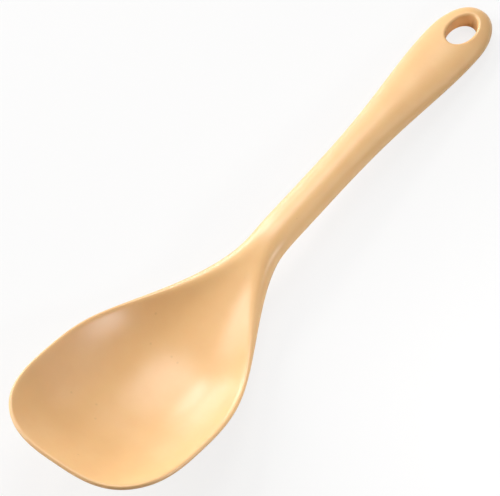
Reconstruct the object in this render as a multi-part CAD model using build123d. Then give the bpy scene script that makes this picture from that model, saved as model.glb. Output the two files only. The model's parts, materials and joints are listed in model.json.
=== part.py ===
from build123d import *
import math
import os

# Lengths along the paddle, in millimetres, each one starting where the last one ends
bowl_front_length = 40.9
bowl_taper_length = 84.3
neck_length = 25.9
grip_flare_length = 93.0
grip_end_length = 22.8

# Widths across the paddle
bowl_width = 70.0
neck_width = 14.6
grip_width = 24.1

# Bowl: wall, depth under the rim, the stretch in which its floor rises, and the tip's droop
bowl_wall = 2.4
bowl_depth = 15.8
floor_start_offset = 4.5
floor_end_offset = 10.0
tip_drop = 2.3
tip_drop_length = 15.0

# Shoulder: the stretch in which the level rim climbs and the wall thickens into the handle
shoulder_length = 62.5
thickening_length = 55.0
shoulder_overrun = 4.3
shoulder_height = 18.7

# Handle: its rise in degrees over the rim, its thickness, and the rounding of its end
handle_rise_angle = 11.9
handle_thickness = 10.3
grip_thickness = 8.4
grip_thinning_offset = 55.0
grip_thinning_length = 60.0
grip_end_round = 21.4
grip_nose_length = 7.0

# Hanging hole: an oval square to the handle, with rounded lips
hole_length = 17.0
hole_width = 10.4
hole_from_end = 14.8
hole_lip = 1.3

# Stiff inner core: a flat spine in the handle that runs on as a thin tongue down the bowl
core_wall = 1.0
core_tip_margin = 9.0
core_side_cover = 2.4
core_cover = 2.2
core_end_gap = 14.0

# Key holes in the core, through which the skin's two sides join
key_hole_diameter = 5.0
key_hole_spacing = 40.0
key_hole_count = 5

# Powers that set the roundness of the curves
plan_power = 3
floor_power = 2.5
taper_power = 1.3
flare_power = 1.52
end_power = 2.17

# Sections: the points of each half, closest at its edge, and how many stand in each stretch
edge_turns = 2
inner_steps = 5
inner_growth = 1.6
front_turns = 2
front_rings = 9
front_growth = 1.3
bowl_rings = 6
shoulder_rings = 22
handle_rings = 14
end_rings = 5
smooth_rings = 1
last_ring_angle = 86
core_place_count = 12
rest_samples = 200
slope_step = 0.02
cut_overrun = 5.0

widest_x = bowl_front_length
neck_x = widest_x + bowl_taper_length
flare_x = neck_x + neck_length
grip_x = flare_x + grip_flare_length
end_x = grip_x + grip_end_length
shoulder_end_x = neck_x + shoulder_overrun
shoulder_start_x = shoulder_end_x - shoulder_length
thickening_start_x = shoulder_end_x - thickening_length
thinning_start_x = shoulder_end_x + grip_thinning_offset
thinning_end_x = thinning_start_x + grip_thinning_length
floor_start_x = widest_x + floor_start_offset
floor_end_x = neck_x + floor_end_offset
hole_x = end_x - hole_from_end
round_end_x = end_x - grip_end_round
core_end_x = hole_x - hole_length / 2 - core_end_gap


# Rises smoothly from 0 to 1 between two places
def ease(x, start, end):
    share = min(max((x - start) / (end - start), 0), 1)
    return share * share * (3 - 2 * share)


# Falls from 1 to 0 over a rounded end
def round_end(x, end, length, power):
    share = min(max((x - end + length) / length, 0), 1)
    return (1 - share ** power) ** (1 / power)


# Half the width in plan: the bowl tapers to the neck, and the handle flares to its grip
def paddle_half_width(x):
    if x <= widest_x:
        return bowl_width / 2
    if x < neck_x:
        share = (x - widest_x) / (neck_x - widest_x)
        wave = (1 + math.cos(math.pi * share ** taper_power)) / 2
        return (neck_width + (bowl_width - neck_width) * wave) / 2
    share = min(max((x - flare_x) / (grip_x - flare_x), 0), 1)
    wave = (1 - math.cos(math.pi * share ** flare_power)) / 2
    return (neck_width + (grip_width - neck_width) * wave) / 2


def paddle_half_thickness(x):
    gain = (handle_thickness - bowl_wall) / 2 * ease(x, thickening_start_x, shoulder_end_x)
    thinning = ease(x, thinning_start_x, thinning_end_x)
    return bowl_wall / 2 + gain - (handle_thickness - grip_thickness) / 2 * thinning


# The core's tongue is as wide as its neck, and its spine flares with the handle
def core_half_width(x):
    return paddle_half_width(max(x, neck_x)) - core_side_cover


def core_half_thickness(x):
    spine = handle_thickness / 2 - core_cover
    spine -= (handle_thickness - grip_thickness) / 2 * ease(x, thinning_start_x, thinning_end_x)
    return core_wall / 2 + (spine - core_wall / 2) * ease(x, thickening_start_x, shoulder_end_x)


# Height of the edge line: level round the bowl but for the tip's droop, then up to the handle
def edge_height(x):
    handle_line = shoulder_height + math.tan(math.radians(handle_rise_angle)) * (x - shoulder_end_x)
    droop = tip_drop * (max(tip_drop_length - x, 0) / tip_drop_length) ** 2
    return handle_line * ease(x, shoulder_start_x, shoulder_end_x) - droop


# 0 at the middle of the bowl or on the handle's centre line, 1 on the outline
def outline_share(x, y):
    half_width = paddle_half_width(x) * round_end(x, end_x, grip_end_round, end_power)
    along = max((widest_x - x) / widest_x, 0)
    across = abs(y) / half_width if half_width else 1
    return (along ** plan_power + across ** plan_power) ** (1 / plan_power)


# The surface half way through the wall: it dishes below the edge line to make the bowl
def middle_height(x, y):
    depth = bowl_depth * (1 - ease(x, floor_start_x, floor_end_x))
    return edge_height(x) - depth * (1 - outline_share(x, y) ** floor_power)


def middle_normal(x, y):
    along = (middle_height(x + slope_step, y) - middle_height(x - slope_step, y)) / (2 * slope_step)
    across = (middle_height(x, y + slope_step) - middle_height(x, y - slope_step)) / (2 * slope_step)
    return Vector(-along, -across, 1).normalized()


def square_to_middle(x, y):
    return Plane(origin=(x, y, middle_height(x, y)), x_dir=(0, 1, 0), z_dir=middle_normal(x, y))


# Distances in from the outline: close together round the edge, then wider and wider
def steps_inward(reach, turns, steps, growth):
    edge = bowl_wall / 2
    rounding = [edge * (1 - math.cos(math.pi / 2 * k / turns)) for k in range(turns)]
    inner = [(growth ** k - 1) / (growth ** steps - 1) for k in range(steps + 1)]
    return rounding + [edge + (reach - edge) * share for share in inner]


# Places across a section, from -1 to 1
def section_places():
    half_width = bowl_width / 2
    sides = [1 - step / half_width for step in steps_inward(half_width, edge_turns, inner_steps, inner_growth)]
    return [-side for side in sides] + sides[-2::-1]


# Rings wrap round the bowl's front, flatten out behind it and then cross the neck and the handle.
# Each is a list of places in plan, with their share of the way out to the outline.
def front_ring(reach):
    ring = []
    for across in section_places():
        bow = abs(across) ** plan_power
        x = widest_x * (1 - reach * (1 - bow / 2) ** (1 / plan_power))
        y = bowl_width / 2 * across * (1 - reach ** plan_power / 2) ** (1 / plan_power)
        share = (1 - (1 - reach ** plan_power) * (1 - bow)) ** (1 / plan_power)
        ring.append((x, y, share))
    return ring


def rear_ring(distance):
    ring = []
    for across in section_places():
        bow = 1 - (1 - abs(across) ** plan_power / 2) ** (1 / plan_power)
        x = widest_x + distance * (1 - bow * (1 - ease(distance, 0, shoulder_length)))
        ring.append((x, paddle_half_width(x) * across, abs(across)))
    return ring


def end_ring(angle):
    x = round_end_x + grip_end_round * math.sin(math.radians(angle))
    half_width = paddle_half_width(x) * round_end(x, end_x, grip_end_round, end_power)
    return [(x, half_width * across, abs(across)) for across in section_places()]


# Points over or under the middle surface. The wall keeps its thickness in the bowl up to a round
# edge, and the handle is an ellipse.
def wall_points(ring, side):
    points = []
    for x, y, share in ring:
        flatness = 2 * paddle_half_width(x) / paddle_half_thickness(x) - 2
        edge_power = 2 + flatness * (1 - ease(x, thickening_start_x, shoulder_end_x))
        fullness = math.sqrt(1 - share ** edge_power) if share < 1 else 0
        half = paddle_half_thickness(x) * round_end(x, end_x, grip_nose_length, 2) * fullness
        points.append(Vector(x, y, middle_height(x, y)) + middle_normal(x, y) * (side * half))
    return points


def evenly(start, end, count):
    return [start + (end - start) * k / count for k in range(count)]


# Each ring is a closed section, a top curve and an underside curve that meet at the edge. Close
# sections are joined by straight rulings, and those round the end of the handle by a smooth skin.
def make_body():
    front_steps = steps_inward(widest_x, front_turns, front_rings, front_growth)
    rear_x = evenly(widest_x, shoulder_start_x, bowl_rings)
    rear_x += evenly(shoulder_start_x, shoulder_end_x, shoulder_rings)
    rear_x += evenly(shoulder_end_x, round_end_x, handle_rings)
    rings = [front_ring(1 - step / widest_x) for step in front_steps[1:]]
    rings += [rear_ring(x - widest_x) for x in rear_x[1:]]
    rings += [end_ring(angle) for angle in evenly(0, last_ring_angle, end_rings)]
    rings.append(end_ring(last_ring_angle))

    # The points of every ring are spaced like those of the widest one, so no face twists
    widest = wall_points(front_ring(0), 1)
    lengths = [0]
    for start, finish in zip(widest, widest[1:]):
        lengths.append(lengths[-1] + (finish - start).length)
    places = [length / lengths[-1] for length in lengths]
    back_places = [1 - place for place in reversed(places)]

    wires = []
    for ring in rings:
        top = Edge.make_spline(wall_points(ring, 1), parameters=places)
        under = Edge.make_spline(wall_points(ring, -1)[::-1], parameters=back_places)
        wires.append(Wire([top, under]))
    seam = len(wires) - 1 - end_rings - smooth_rings
    ruled_part = Shell.make_loft(wires[:seam + 1], ruled=True)
    smooth_part = Shell.make_loft(wires[seam:])
    front_edge = Face.make_surface(wires[0])
    rear_cap = Face(wires[-1])
    return Solid(Shell([*ruled_part.faces(), *smooth_part.faces(), front_edge, rear_cap]))


def make_paddle():
    paddle = make_body()
    hole_plane = square_to_middle(hole_x, 0)
    hole_depth = handle_thickness + 2 * cut_overrun
    oval = hole_plane.offset(-hole_depth / 2) * Ellipse(hole_width / 2, hole_length / 2)
    paddle -= extrude(oval, hole_depth)
    lips = [
        edge for edge in paddle.edges().filter_by(GeomType.BSPLINE)
        if (edge.center(CenterOf.MASS) - hole_plane.origin).length < grip_thickness
    ]
    return fillet(lips, hole_lip)


# The core is what its outline in plan and its side profile have in common
def make_core():
    nose = core_half_width(core_tip_margin)
    front_x = core_tip_margin + nose
    tail = core_half_width(core_end_x)
    rear_x = core_end_x - tail
    flare = [(x, core_half_width(x)) for x in evenly(flare_x, rear_x, core_place_count) + [rear_x]]
    left = Line((front_x, nose), flare[0]) + Spline(flare)
    outline = left + mirror(left, Plane.XZ)
    outline += ThreePointArc((front_x, nose), (core_tip_margin, 0), (front_x, -nose))
    outline += ThreePointArc(flare[-1], (rear_x + flare[-1][1], 0), (rear_x, -flare[-1][1]))
    plan = Pos(Z=-end_x) * make_face(outline)

    sides = []
    for side in (1, -1):
        points = []
        for x in evenly(core_tip_margin - cut_overrun / 2, core_end_x + cut_overrun, core_place_count):
            middle = Vector(x, 0, middle_height(x, 0))
            points.append(middle + middle_normal(x, 0) * (side * core_half_thickness(x)))
        sides.append(points)
    top = Edge.make_spline(sides[0])
    under = Edge.make_spline(sides[1])
    ends = [Edge.make_line(top @ k, under @ k) for k in (0, 1)]
    profile = Face(Wire([top, ends[1], under, ends[0]]))
    side_wall = extrude(Pos(Y=bowl_width / 2) * profile, bowl_width, dir=(0, -1, 0))
    core = extrude(plan, 2 * end_x) & side_wall
    for k in range(key_hole_count):
        key_hole = Cylinder(key_hole_diameter / 2, handle_thickness)
        core -= square_to_middle(front_x + key_hole_spacing * (k + 1 / 2), 0) * key_hole
    return core


# The angle, in degrees, of the table that touches the bowl and the handle's end from below
def resting_angle():
    def underside(x):
        return middle_height(x, 0) - paddle_half_thickness(x) * round_end(x, end_x, grip_nose_length, 2)

    bowl_places = [neck_x * k / rest_samples for k in range(rest_samples)]
    handle_places = [flare_x + (end_x - flare_x) * k / rest_samples for k in range(rest_samples)]
    slopes = []
    for rear in handle_places:
        slopes.append(max((underside(rear) - underside(fore)) / (rear - fore) for fore in bowl_places))
    return math.degrees(math.atan(min(slopes)))


# The paddle as it lies on a table: on the bowl's underside and the end of the handle, with the
# origin under the middle of its length
paddle = make_paddle()
core = make_core()
turn = Rot(Y=resting_angle())
box = (turn * paddle).bounding_box()
rest = Pos(-(box.min.X + box.max.X) / 2, 0, -box.min.Z) * turn
pieces = {
    "paddle_skin": rest * (paddle - core),
    "stiffening_core": rest * core,
}

os.makedirs("parts", exist_ok=True)
for name, piece in pieces.items():
    export_step(piece, f"parts/{name}.step")
    print(name, "volume", round(piece.volume), "faces", len(piece.faces()))
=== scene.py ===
import json
import math

import bpy
from mathutils import Matrix, Quaternion, Vector


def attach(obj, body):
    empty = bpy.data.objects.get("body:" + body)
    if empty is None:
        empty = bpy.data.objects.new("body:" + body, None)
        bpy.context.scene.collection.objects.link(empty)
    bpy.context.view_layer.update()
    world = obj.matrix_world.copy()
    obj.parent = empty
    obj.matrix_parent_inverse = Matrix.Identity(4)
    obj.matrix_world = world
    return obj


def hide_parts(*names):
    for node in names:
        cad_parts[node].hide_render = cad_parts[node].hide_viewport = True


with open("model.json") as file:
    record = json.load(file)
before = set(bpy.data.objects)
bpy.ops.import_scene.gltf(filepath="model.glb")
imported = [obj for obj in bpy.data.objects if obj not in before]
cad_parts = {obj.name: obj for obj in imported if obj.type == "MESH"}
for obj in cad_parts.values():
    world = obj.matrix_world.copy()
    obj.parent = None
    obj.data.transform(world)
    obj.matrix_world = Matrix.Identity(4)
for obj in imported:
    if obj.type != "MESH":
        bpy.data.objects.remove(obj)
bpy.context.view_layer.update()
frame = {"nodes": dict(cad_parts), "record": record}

mm = 0.001  # sizes below are in millimetres and angles in degrees, the scene is in metres


# A socket that can be used in sums: an expression on values adds its Math nodes
class Wire:
    def __init__(self, tree, socket=None):
        self.tree = tree
        self.socket = socket

    # Any node: its type, its settings, then the values or links of its sockets
    def node(self, kind, settings=None, values=None, output=0):
        made = self.tree.nodes.new(kind)
        for name, setting in (settings or {}).items():
            setattr(made, name, setting)
        for name, value in (values or {}).items():
            socket = made.inputs[name]
            for part in value if isinstance(value, list) else [value]:
                if isinstance(part, Wire):
                    self.tree.links.new(part.socket, socket)
                else:
                    socket.default_value = part
        return Wire(self.tree, made.outputs[output] if made.outputs else None)

    # Another output of the node that this wire comes from
    def beside(self, output):
        return Wire(self.tree, self.socket.node.outputs[output])

    def math(self, operation, *others):
        values = dict(enumerate((self, *others)))
        return self.node("ShaderNodeMath", {"operation": operation}, values)

    def reversedMath(self, operation, first):
        return self.node("ShaderNodeMath", {"operation": operation}, {0: first, 1: self})

    def __add__(self, other):
        return self.math("ADD", other)

    def __radd__(self, other):
        return self.math("ADD", other)

    def __sub__(self, other):
        return self.math("SUBTRACT", other)

    def __rsub__(self, other):
        return self.reversedMath("SUBTRACT", other)

    def __mul__(self, other):
        return self.math("MULTIPLY", other)

    def __truediv__(self, other):
        return self.math("DIVIDE", other)

    def __rtruediv__(self, other):
        return self.reversedMath("DIVIDE", other)

    def __pow__(self, other):
        return self.math("POWER", other)

    def __neg__(self):
        return self.math("MULTIPLY", -1.0)

    def __abs__(self):
        return self.math("ABSOLUTE")

    def atLeast(self, other):
        return self.math("MAXIMUM", other)

    def atMost(self, other):
        return self.math("MINIMUM", other)

    def rooted(self):
        return self.atLeast(0.0).math("SQRT")

    # Rises smoothly from 0 to 1 between two places
    def ease(self, start, end):
        settings = {"interpolation_type": "SMOOTHSTEP"}
        values = {"Value": self, "From Min": start, "From Max": end}
        return self.node("ShaderNodeMapRange", settings, values)


# The camera stands where the photograph was taken from: high up, past the bowl's tip and to one side
cameraSettings = {
    "target": (-13.0, 5.3, 11.6),
    "azimuth": -53.68,
    "elevation": 57.77,
    "roll": 0.2,
    "distance": 1100.0,
    "lens": 211.4,
    "sensor": 36.0,
    "nearest": 50.0,
    "farthest": 20000.0,
}


def makeCamera(settings):
    azimuth = math.radians(settings["azimuth"])
    elevation = math.radians(settings["elevation"])
    back = Vector((
        math.sin(azimuth) * math.cos(elevation),
        -math.cos(azimuth) * math.cos(elevation),
        math.sin(elevation),
    ))
    data = bpy.data.cameras.new("camera")
    data.sensor_fit = "HORIZONTAL"
    data.sensor_width = settings["sensor"]
    data.lens = settings["lens"]
    data.clip_start = settings["nearest"] * mm
    data.clip_end = settings["farthest"] * mm
    camera = bpy.data.objects.new("camera", data)
    camera.location = (Vector(settings["target"]) + back * settings["distance"]) * mm
    roll = Quaternion(back, math.radians(settings["roll"]))
    camera.rotation_euler = (roll @ back.to_track_quat("Z", "Y")).to_euler()
    bpy.context.scene.collection.objects.link(camera)
    bpy.context.scene.camera = camera


makeCamera(cameraSettings)
print("camera set")


# The skin: the sizes and powers that shape it, then how finely its mesh is divided
skinSizes = {
    "bowlFrontLength": 40.9,
    "bowlTaperLength": 84.3,
    "neckLength": 25.9,
    "gripFlareLength": 93.0,
    "gripEndLength": 22.8,
    "bowlWidth": 70.0,
    "neckWidth": 14.6,
    "gripWidth": 24.1,
    "bowlWall": 2.4,
    "bowlDepth": 15.8,
    "floorStartOffset": 4.5,
    "floorEndOffset": 10.0,
    "tipDrop": 2.3,
    "tipDropLength": 15.0,
    "shoulderLength": 62.5,
    "thickeningLength": 55.0,
    "shoulderOverrun": 4.3,
    "shoulderHeight": 18.7,
    "handleRise": 11.9,
    "handleThickness": 10.3,
    "gripThickness": 8.4,
    "gripThinningOffset": 55.0,
    "gripThinningLength": 60.0,
    "gripEndRound": 21.4,
    "gripNoseLength": 7.0,
    "holeLength": 17.0,
    "holeWidth": 10.4,
    "holeFromEnd": 14.8,
    "holeLip": 1.3,
    "holeApproach": 14.0,
    "planPower": 3.0,
    "floorPower": 2.5,
    "taperPower": 1.3,
    "flarePower": 1.52,
    "endPower": 2.17,
    "edgeCrowding": 2.5,
    "slopeStep": 0.05,
    "mergeDistance": 0.002,
    "outlineMarginShare": 0.0001,
}

skinSteps = {
    "bowlRays": 128,
    "halfWidthSteps": 64,
    "rearSteps": 110,
    "holeRings": 48,
    "wallSteps": 6,
}


# The rules of the form, as fields of a place x along the paddle and y across it
class SkinForm:
    def __init__(self, inputs):
        self.size = inputs
        size = inputs
        self.widestX = size["bowlFrontLength"]
        self.neckX = self.widestX + size["bowlTaperLength"]
        self.flareX = self.neckX + size["neckLength"]
        self.gripX = self.flareX + size["gripFlareLength"]
        self.endX = self.gripX + size["gripEndLength"]
        self.shoulderEndX = self.neckX + size["shoulderOverrun"]
        self.shoulderStartX = self.shoulderEndX - size["shoulderLength"]
        self.thickeningStartX = self.shoulderEndX - size["thickeningLength"]
        self.thinningStartX = self.shoulderEndX + size["gripThinningOffset"]
        self.thinningEndX = self.thinningStartX + size["gripThinningLength"]
        self.floorStartX = self.widestX + size["floorStartOffset"]
        self.floorEndX = self.neckX + size["floorEndOffset"]
        self.holeX = self.endX - size["holeFromEnd"]
        self.seamX = self.holeX - size["holeApproach"]
        self.rise = (size["handleRise"] * math.radians(1)).math("TANGENT")

    def roundEnd(self, x, length, power):
        share = ((x - self.endX + length) / length).atLeast(0.0).atMost(1.0)
        return (1 - share ** power) ** (1 / power)

    def halfWidth(self, x):
        size = self.size
        tapered = ((x - self.widestX) / size["bowlTaperLength"]).atLeast(0.0).atMost(1.0)
        taperWave = ((tapered ** size["taperPower"] * math.pi).math("COSINE") + 1) / 2
        flared = ((x - self.flareX) / size["gripFlareLength"]).atLeast(0.0).atMost(1.0)
        flareWave = (1 - (flared ** size["flarePower"] * math.pi).math("COSINE")) / 2
        bowlGain = (size["bowlWidth"] - size["neckWidth"]) * taperWave
        gripGain = (size["gripWidth"] - size["neckWidth"]) * flareWave
        return (size["neckWidth"] + bowlGain + gripGain) / 2

    def halfThickness(self, x):
        size = self.size
        thickening = size["handleThickness"] - size["bowlWall"]
        thinning = size["handleThickness"] - size["gripThickness"]
        gain = thickening * x.ease(self.thickeningStartX, self.shoulderEndX)
        loss = thinning * x.ease(self.thinningStartX, self.thinningEndX)
        return (size["bowlWall"] + gain - loss) / 2

    # Height of the edge line: level round the bowl but for the tip's droop, then up to the handle
    def edgeHeight(self, x):
        size = self.size
        handleLine = size["shoulderHeight"] + self.rise * (x - self.shoulderEndX)
        droop = size["tipDrop"] * ((size["tipDropLength"] - x).atLeast(0.0) / size["tipDropLength"]) ** 2
        return handleLine * x.ease(self.shoulderStartX, self.shoulderEndX) - droop

    # 0 on the middle line, 1 on the outline
    def outlineShare(self, x, y):
        size = self.size
        power = size["planPower"]
        along = ((self.widestX - x) / self.widestX).atLeast(0.0)
        across = abs(y) / (self.halfWidth(x) * self.roundEnd(x, size["gripEndRound"], size["endPower"]))
        return (along ** power + across ** power) ** (1 / power)

    def middleHeight(self, x, y):
        size = self.size
        depth = size["bowlDepth"] * (1 - x.ease(self.floorStartX, self.floorEndX))
        return self.edgeHeight(x) - depth * (1 - self.outlineShare(x, y) ** size["floorPower"])

    # Half the wall's thickness, which rounds off to nothing on the outline: a round rim, an oval handle
    def offset(self, x, share):
        half = self.halfThickness(x)
        flat = self.halfWidth(x) * 4 / self.size["bowlWall"] - 2
        power = 2 + flat * (1 - x.ease(self.thickeningStartX, self.shoulderEndX))
        nose = self.roundEnd(x, self.size["gripNoseLength"], 2.0)
        return half * nose * (1 - share.atMost(1.0) ** power).rooted()


# A flat grid whose points go to x and y in plan, with their height over the middle surface as z
def patch(root, columns, rows, place):
    values = {"Size X": 1.0, "Size Y": 1.0, "Vertices X": columns + 1, "Vertices Y": rows + 1}
    grid = root.node("GeometryNodeMeshGrid", None, values)
    flat = root.node("ShaderNodeSeparateXYZ", None, {0: root.node("GeometryNodeInputPosition")})
    x, y, height = place(flat + 0.5, flat.beside("Y") + 0.5)
    target = root.node("ShaderNodeCombineXYZ", None, {"X": x, "Y": y, "Z": height})
    return root.node("GeometryNodeSetPosition", None, {"Geometry": grid, "Position": target})


def buildSkinTree(sizes, steps):
    tree = bpy.data.node_groups.new("skin_form", "GeometryNodeTree")
    tree.interface.new_socket(name="Geometry", in_out="OUTPUT", socket_type="NodeSocketGeometry")
    tree.interface.new_socket(name="material", in_out="INPUT", socket_type="NodeSocketMaterial")
    for name in sizes:
        tree.interface.new_socket(name=name, in_out="INPUT", socket_type="NodeSocketFloat")
    for name in steps:
        tree.interface.new_socket(name=name, in_out="INPUT", socket_type="NodeSocketInt")
    root = Wire(tree)
    entry = root.node("NodeGroupInput", output="material")
    size = {name: entry.beside(name) for name in [*sizes, *steps]}
    form = SkinForm(size)
    crowding = size["edgeCrowding"]

    # Crowds places towards 1, where the edge is round
    def crowd(share):
        return 1 - (1 - share).atLeast(0.0) ** crowding

    def placeFront(turn, inward):
        power = size["planPower"]
        angle = (turn - 0.5) * math.pi
        along = angle.math("COSINE").atLeast(0.0)
        across = angle.math("SINE")
        reach = crowd(inward)
        scale = reach / (along ** power + abs(across) ** power) ** (1 / power)
        x = form.widestX * (1 - scale * along)
        y = size["bowlWidth"] / 2 * (scale * across)
        return x, y, form.offset(x, reach)

    def placeRear(across, along):
        side = 1 - across * 2
        share = crowd(abs(side))
        bow = 1 - (1 - share ** size["planPower"] / 2) ** (1 / size["planPower"])
        distance = along * (form.seamX - form.widestX)
        settle = distance.ease(0.0, size["shoulderLength"])
        x = form.widestX + distance * (1 - bow * (1 - settle))
        y = form.halfWidth(x) * share * side.math("SIGN")
        return x, y, form.offset(x, share)

    # Round the end of the handle: from the last section and the outline in to the oval hole
    def endPlan(around):
        side = 1 - around * 4
        share = crowd(abs(side))
        lap = (around * 2 - 1).atLeast(0.0)
        onSection = around.math("LESS_THAN", 0.5)
        sectionY = form.halfWidth(form.seamX) * share * side.math("SIGN")
        outlineX = form.seamX + (form.endX - form.seamX) * (lap * math.pi).math("SINE")
        endTaper = form.roundEnd(outlineX, size["gripEndRound"], size["endPower"])
        outlineY = form.halfWidth(outlineX) * endTaper * (lap - 0.5).math("SIGN")
        x = onSection * form.seamX + (1 - onSection) * outlineX
        y = onSection * sectionY + (1 - onSection) * outlineY
        halfLength = size["holeLength"] / 2 * (size["handleRise"] * math.radians(1)).math("COSINE")
        halfWidth = size["holeWidth"] / 2
        reach = (((x - form.holeX) / halfLength) ** 2 + (y / halfWidth) ** 2).rooted()
        holeX = form.holeX + (x - form.holeX) / reach
        holeY = y / reach
        return x, y, holeX, holeY, onSection

    def placeEnd(around, inward):
        outerX, outerY, holeX, holeY, onSection = endPlan(around)
        pull = inward ** 2 / (inward ** 2 + (1 - inward) ** 2)
        x = outerX + (holeX - outerX) * pull
        y = outerY + (holeY - outerY) * pull
        taper = form.halfWidth(x) * form.roundEnd(x, size["gripEndRound"], size["endPower"])
        inside = onSection.atLeast(inward.math("GREATER_THAN", size["outlineMarginShare"]))
        reachX, reachY = x - holeX, y - holeY
        fromHole = (reachX * reachX + reachY * reachY).rooted()
        dip = (1 - fromHole / size["holeLip"]).atLeast(0.0)
        drop = size["holeLip"] * (1 - (1 - dip * dip).rooted())
        return x, y, form.offset(x, abs(y) / taper) * inside - drop

    def placeWall(around, down):
        holeX, holeY = endPlan(around)[2:4]
        taper = form.halfWidth(holeX) * form.roundEnd(holeX, size["gripEndRound"], size["endPower"])
        height = form.offset(holeX, abs(holeY) / taper) - size["holeLip"]
        return holeX, holeY, height * (1 - down * 2)

    across = size["halfWidthSteps"] * 2
    tops = [
        patch(root, size["bowlRays"], size["halfWidthSteps"], placeFront),
        patch(root, across, size["rearSteps"], placeRear),
        patch(root, across * 2, size["holeRings"], placeEnd),
    ]
    top = root.node("GeometryNodeJoinGeometry", None, {"Geometry": tops})
    plan = root.node("ShaderNodeSeparateXYZ", None, {0: root.node("GeometryNodeInputPosition")})
    x, y, height = plan, plan.beside("Y"), plan.beside("Z")
    mirrored = root.node("ShaderNodeCombineXYZ", None, {"X": x, "Y": y, "Z": -height})
    under = root.node("GeometryNodeSetPosition", None, {"Geometry": top, "Position": mirrored})
    under = root.node("GeometryNodeFlipFaces", None, {"Mesh": under})
    wall = patch(root, across * 2, size["wallSteps"], placeWall)
    whole = root.node("GeometryNodeJoinGeometry", None, {"Geometry": [top, under, wall]})

    # Wraps the flat plan over the middle surface, each point square to it by its own height
    step = size["slopeStep"]
    slopeX = (form.middleHeight(x + step, y) - form.middleHeight(x - step, y)) / (step * 2)
    slopeY = (form.middleHeight(x, y + step) - form.middleHeight(x, y - step)) / (step * 2)
    steepness = (slopeX * slopeX + slopeY * slopeY + 1).rooted()
    wrapped = root.node("ShaderNodeCombineXYZ", None, {
        "X": x - slopeX / steepness * height,
        "Y": y - slopeY / steepness * height,
        "Z": form.middleHeight(x, y) + height / steepness,
    })
    whole = root.node("GeometryNodeSetPosition", None, {"Geometry": whole, "Position": wrapped})
    values = {"Geometry": whole, "Distance": size["mergeDistance"]}
    whole = root.node("GeometryNodeMergeByDistance", None, values)
    whole = root.node("GeometryNodeSetShadeSmooth", None, {"Geometry": whole})
    whole = root.node("GeometryNodeRealizeInstances", None, {"Geometry": whole})
    whole = root.node("GeometryNodeSetMaterial", None, {"Geometry": whole, "Material": entry})
    root.node("NodeGroupOutput", None, {"Geometry": whole})
    return tree


# The turn and the shift that lay the form on the table, with its hole at the record's hanging eye
def restPlace(sizes):
    eye = frame["record"]["mounts"][0]
    rise = math.radians(sizes["handleRise"])
    lean = rise + math.atan2(eye["axis"][0], eye["axis"][2])
    neckX = sizes["bowlFrontLength"] + sizes["bowlTaperLength"]
    endX = neckX + sizes["neckLength"] + sizes["gripFlareLength"] + sizes["gripEndLength"]
    holeX = endX - sizes["holeFromEnd"]
    fromShoulder = holeX - neckX - sizes["shoulderOverrun"]
    holeZ = sizes["shoulderHeight"] + math.tan(rise) * fromShoulder
    turn = Matrix.Rotation(lean, 4, "Y") @ Matrix.Scale(mm, 4)
    shift = Vector(eye["pos_m"]) - turn @ Vector((holeX, 0, holeZ))
    return Matrix.Translation(shift) @ turn


def makeSkin(material):
    holder = bpy.data.objects.new("skin_builder", bpy.data.meshes.new("skin_builder"))
    bpy.context.scene.collection.objects.link(holder)
    tree = buildSkinTree(skinSizes, skinSteps)
    modifier = holder.modifiers.new("form", "NODES")
    modifier.node_group = tree
    wanted = {**skinSizes, **skinSteps, "material": material}
    for item in tree.interface.items_tree:
        if item.in_out == "INPUT":
            modifier[item.identifier] = wanted[item.name]
    bpy.context.view_layer.update()
    graph = bpy.context.evaluated_depsgraph_get()
    mesh = bpy.data.meshes.new_from_object(holder.evaluated_get(graph), depsgraph=graph)
    holder.modifiers.remove(modifier)
    bpy.data.objects.remove(holder)
    mesh.name = "soft_skin"
    mesh.transform(restPlace(skinSizes))
    skin = bpy.data.objects.new("soft_skin", mesh)
    bpy.context.scene.collection.objects.link(skin)
    return skin


def startMaterial(name):
    material = bpy.data.materials.new(name)
    material.use_nodes = True
    material.node_tree.nodes.clear()
    return material, Wire(material.node_tree)


def finishMaterial(root, shader):
    root.node("ShaderNodeOutputMaterial", None, {"Surface": shader})


# Sockets 6 and 7 and output 2 are the colour ones of a Mix node
def mixColours(root, share, first, second):
    return root.node("ShaderNodeMix", {"data_type": "RGBA"}, {0: share, 6: first, 7: second}, 2)


# Soft one-colour coating: satin, faintly mottled, with the finest of grain and a few dust specks
skinFinish = {
    "colour": (0.88, 0.555, 0.262, 1.0),
    "deepColour": (0.865, 0.53, 0.245, 1.0),
    "mottle": {"Scale": 90.0, "Detail": 3.0, "Roughness": 0.5},
    "mottleRange": (0.3, 0.7),
    "grain": {"Scale": 2600.0, "Detail": 2.0, "Roughness": 0.6},
    "grainHeight": 0.02,
    "roughness": 0.34,
    "roughnessRange": 0.06,
    "specular": 0.7,
    "glow": 0.12,
    "glowDepth": 2.0,
    "glowReach": (1.0, 0.5, 0.25),
    "speckColour": (0.30, 0.17, 0.06, 1.0),
    "speckStrength": 0.14,
    "speckRadius": 0.65,
    "specks": [
        (-55.0, 17.7, 7.8), (-64.7, 12.8, 4.0), (-63.9, 3.7, 2.6), (-64.6, 0.4, 2.5),
        (-102.1, 20.0, 13.0), (-98.9, 11.2, 8.8), (-104.1, 7.5, 9.8), (-124.0, -1.0, 21.6),
    ],
    "strayScale": 60.0,
    "strayRadius": 0.4,
}


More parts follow.
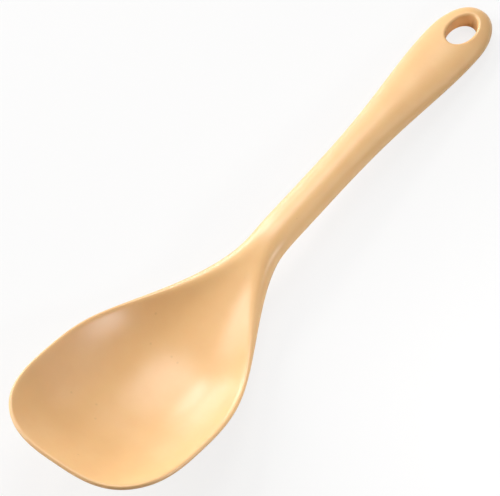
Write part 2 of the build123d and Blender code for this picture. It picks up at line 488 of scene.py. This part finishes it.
def skinMaterial(finish):
    material, root = startMaterial("skin")
    place = root.node("ShaderNodeTexCoord", output="Object")
    mottle = root.node("ShaderNodeTexNoise", None, {"Vector": place, **finish["mottle"]})
    grain = root.node("ShaderNodeTexNoise", None, {"Vector": place, **finish["grain"]})

    # A soft dot that fades out at its radius
    def dot(distance, radius):
        return 1 - distance.ease(radius / 3, radius)

    stray = root.node("ShaderNodeTexVoronoi", None, {"Vector": place, "Scale": finish["strayScale"]})
    speck = dot(stray, finish["strayRadius"] * mm * finish["strayScale"])
    for centre in finish["specks"]:
        values = {0: place, 1: Vector(centre) * mm}
        distance = root.node("ShaderNodeVectorMath", {"operation": "DISTANCE"}, values, "Value")
        speck = speck.atLeast(dot(distance, finish["speckRadius"] * mm))

    colour = mixColours(root, mottle.ease(*finish["mottleRange"]), finish["colour"], finish["deepColour"])
    colour = mixColours(root, speck * finish["speckStrength"], colour, finish["speckColour"])
    roughness = finish["roughness"] + (mottle - 0.5) * finish["roughnessRange"]
    bump = root.node("ShaderNodeBump", None, {"Height": grain, "Distance": finish["grainHeight"] * mm})
    shader = root.node("ShaderNodeBsdfPrincipled", None, {
        "Base Color": colour, "Roughness": roughness, "Normal": bump,
        "Specular IOR Level": finish["specular"],
        "Subsurface Weight": finish["glow"], "Subsurface Radius": finish["glowReach"],
        "Subsurface Scale": finish["glowDepth"] * mm,
    })
    finishMaterial(root, shader)
    return material


# Stiff moulded core, sealed inside: matte, with a faint flow pattern along the handle
coreFinish = {
    "colour": (0.57, 0.51, 0.39, 1.0),
    "flowColour": (0.50, 0.44, 0.33, 1.0),
    "flow": {"Scale": 60.0, "Detail": 4.0},
    "flowStretch": (0.15, 1.0, 1.0),
    "flowRange": (0.35, 0.65),
    "roughness": 0.62,
    "roughnessRange": 0.1,
}


def coreMaterial(finish):
    material, root = startMaterial("core")
    place = root.node("ShaderNodeTexCoord", output="Object")
    drawn = root.node("ShaderNodeMapping", None, {"Vector": place, "Scale": finish["flowStretch"]})
    flow = root.node("ShaderNodeTexNoise", None, {"Vector": drawn, **finish["flow"]})
    colour = mixColours(root, flow.ease(*finish["flowRange"]), finish["colour"], finish["flowColour"])
    roughness = finish["roughness"] + (flow - 0.5) * finish["roughnessRange"]
    shader = root.node("ShaderNodeBsdfPrincipled", None, {"Base Color": colour, "Roughness": roughness})
    finishMaterial(root, shader)
    return material


skin = makeSkin(skinMaterial(skinFinish))
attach(skin, "root")
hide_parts("paddle_skin")
print("skin made with", len(skin.data.vertices), "points")

core = frame["nodes"]["stiffening_core"]
for slot in core.material_slots:
    slot.material = coreMaterial(coreFinish)
print("core finished")


# Studio: a floor and a surround that the camera sees as white, four soft lamps far off and two near ones
studioSettings = {
    "floorSize": 6000.0,
    "floorColour": (0.80, 0.80, 0.80, 1.0),
    "shownShare": 0.80,
    "shownColour": (1.0, 1.0, 1.0, 1.0),
    "surround": 0.11,
    "surroundColour": (1.0, 0.87, 0.70, 1.0),
    "lampDistance": 1300.0,
    "lamps": {
        "key": {"from": (0.41, 0.73, 0.55), "size": 180.0, "watts": 3.9},
        "side": {"from": (-0.45, 0.75, 0.48), "size": 900.0, "watts": 13.0},
        "low": {"from": (0.35, 0.92, 0.18), "size": 480.0, "watts": 5.2},
        "top": {"from": (0.43, 0.34, 0.84), "size": 620.0, "watts": 6.0},
        "fill": {
            "aim": (-106.0, 19.0, 14.0), "distance": 260.0,
            "from": (0.47, -0.78, 0.42), "size": 40.0, "watts": 0.175,
        },
        "gripFill": {
            "aim": (105.0, 0.0, 8.0), "distance": 300.0,
            "from": (0.45, -0.55, 0.70), "size": 160.0, "watts": 0.10,
        },
    },
}


def makeStudio(settings):
    half = settings["floorSize"] / 2 * mm
    mesh = bpy.data.meshes.new("floor")
    corners = [(-half, -half, 0), (half, -half, 0), (half, half, 0), (-half, half, 0)]
    mesh.from_pydata(corners, [], [(0, 1, 2, 3)])
    floor = bpy.data.objects.new("floor", mesh)
    bpy.context.scene.collection.objects.link(floor)
    material, root = startMaterial("floor")
    ray = root.node("ShaderNodeLightPath", output="Is Camera Ray")
    seen = ray.atLeast(ray.beside("Is Transmission Ray"))
    plain = root.node("ShaderNodeBsdfDiffuse", None, {"Color": settings["floorColour"]})
    shown = root.node("ShaderNodeEmission", None, {"Color": settings["shownColour"], "Strength": 1.0})
    values = {0: seen * settings["shownShare"], 1: plain, 2: shown}
    finishMaterial(root, root.node("ShaderNodeMixShader", None, values))
    mesh.materials.append(material)

    world = bpy.data.worlds.new("surround")
    world.use_nodes = True
    world.node_tree.nodes.clear()
    root = Wire(world.node_tree)
    ray = root.node("ShaderNodeLightPath", output="Is Camera Ray")
    strength = settings["surround"] + ray * (1 - settings["surround"])
    colour = mixColours(root, ray, settings["surroundColour"], settings["shownColour"])
    sky = root.node("ShaderNodeBackground", None, {"Color": colour, "Strength": strength})
    root.node("ShaderNodeOutputWorld", None, {"Surface": sky})
    bpy.context.scene.world = world

    for name, lamp in settings["lamps"].items():
        data = bpy.data.lights.new(name, "AREA")
        data.shape = "SQUARE"
        data.size = lamp["size"] * mm
        data.energy = lamp["watts"]
        light = bpy.data.objects.new(name, data)
        aim = Vector(lamp.get("aim", (0.0, 0.0, 0.0)))
        direction = Vector(lamp["from"]).normalized()
        light.location = (aim + direction * lamp.get("distance", settings["lampDistance"])) * mm
        light.rotation_euler = direction.to_track_quat("Z", "Y").to_euler()
        bpy.context.scene.collection.objects.link(light)


makeStudio(studioSettings)
bpy.context.scene.view_settings.view_transform = "Standard"
print("studio set")
